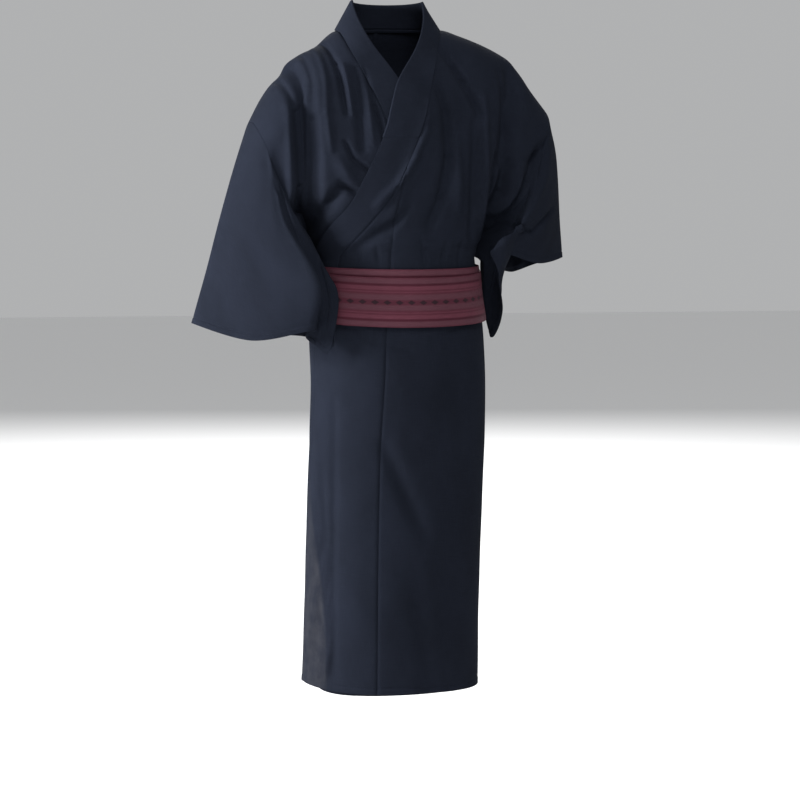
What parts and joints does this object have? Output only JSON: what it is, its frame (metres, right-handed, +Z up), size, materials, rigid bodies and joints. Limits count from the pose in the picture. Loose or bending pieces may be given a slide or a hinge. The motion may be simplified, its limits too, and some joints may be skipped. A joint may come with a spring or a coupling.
{
  "type": "men's yukata with tied belt",
  "caption": "Long straight-cut wrap robe with wide open sleeves and a band collar, held by a stiff belt wound round the waist and tied flat behind.",
  "frame": {"origin": "midpoint between the two points where the collar's seam crosses the shoulders, where the wearer's shoulders and neck hold the robe", "axes": "+Z up along the body, -Y the way the wearer faces, +X towards the wearer's left"},
  "size_m": [0.8088, 0.2954, 1.4117],
  "materials": {
    "cotton_cloth": "matte dark blue-grey cotton, plain slubby weave",
    "belt_weave": "stiff burgundy weave with narrow stripes, slight silky sheen"
  },
  "bodies": {
    "root": {"body_right": "cotton_cloth", "body_left": "cotton_cloth", "skirt_front_right": "cotton_cloth", "skirt_front_left": "cotton_cloth", "skirt_back_right": "cotton_cloth", "skirt_back_left": "cotton_cloth", "overlap_right": "cotton_cloth", "overlap_left": "cotton_cloth", "collar": "cotton_cloth", "collar_cover": "cotton_cloth", "sleeve_right": "cotton_cloth", "sleeve_left": "cotton_cloth", "belt": "belt_weave", "knot_end": "belt_weave", "knot_loop": "belt_weave", "knot_band": "belt_weave"}
  },
  "joints": []
}
